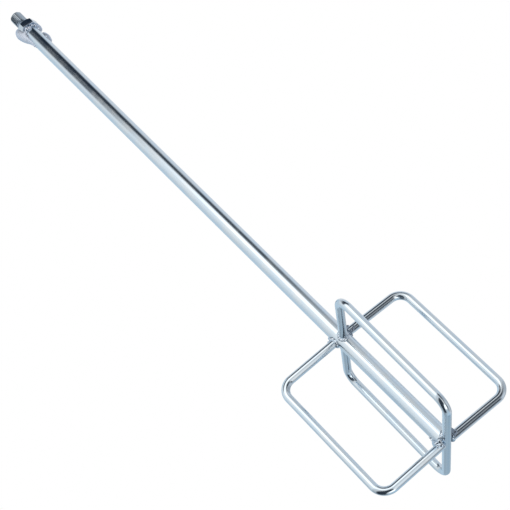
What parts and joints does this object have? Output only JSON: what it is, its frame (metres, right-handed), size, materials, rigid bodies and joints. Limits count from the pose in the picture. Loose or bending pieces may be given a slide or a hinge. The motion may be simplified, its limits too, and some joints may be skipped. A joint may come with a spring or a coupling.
{
  "type": "mortar mixing paddle",
  "caption": "Zinc-plated steel mixing paddle: a long tubular shaft with a threaded drive end and a cross-shaped cage of bent round rods for stirring mortar.",
  "frame": {"origin": "on the shaft axis, level with the lowest line of the bottom rods, so that the paddle stands on its cage", "axes": "+Z along the shaft from the cage to the threaded drive end, Y in the plane of the hoop, X in the plane of the two bows"},
  "size_m": [0.1548, 0.16, 0.687],
  "materials": {
    "zinc_tube": "bright zinc plating on drawn tube, glossy, bluish",
    "zinc_rod": "bright zinc plating on drawn rod, glossy, bluish, fine draw lines",
    "zinc_hardware": "zinc plating on machined thread and nut, satin to glossy",
    "zinc_weld": "zinc plating over rough hand-laid weld bead, uneven and partly dull"
  },
  "bodies": {
    "root": {"shaft_tube": "zinc_tube", "threaded_stud": "zinc_hardware", "hex_nut": "zinc_hardware", "collar_weld": "zinc_weld", "tack_weld": "zinc_weld", "cage_hoop": "zinc_rod", "bow_right": "zinc_rod", "bow_left": "zinc_rod", "weld_top_right": "zinc_weld", "weld_top_left": "zinc_weld", "weld_top_front": "zinc_weld", "weld_top_back": "zinc_weld", "weld_foot_right": "zinc_weld", "weld_foot_left": "zinc_weld", "weld_foot_front": "zinc_weld", "weld_foot_back": "zinc_weld"}
  },
  "joints": []
}
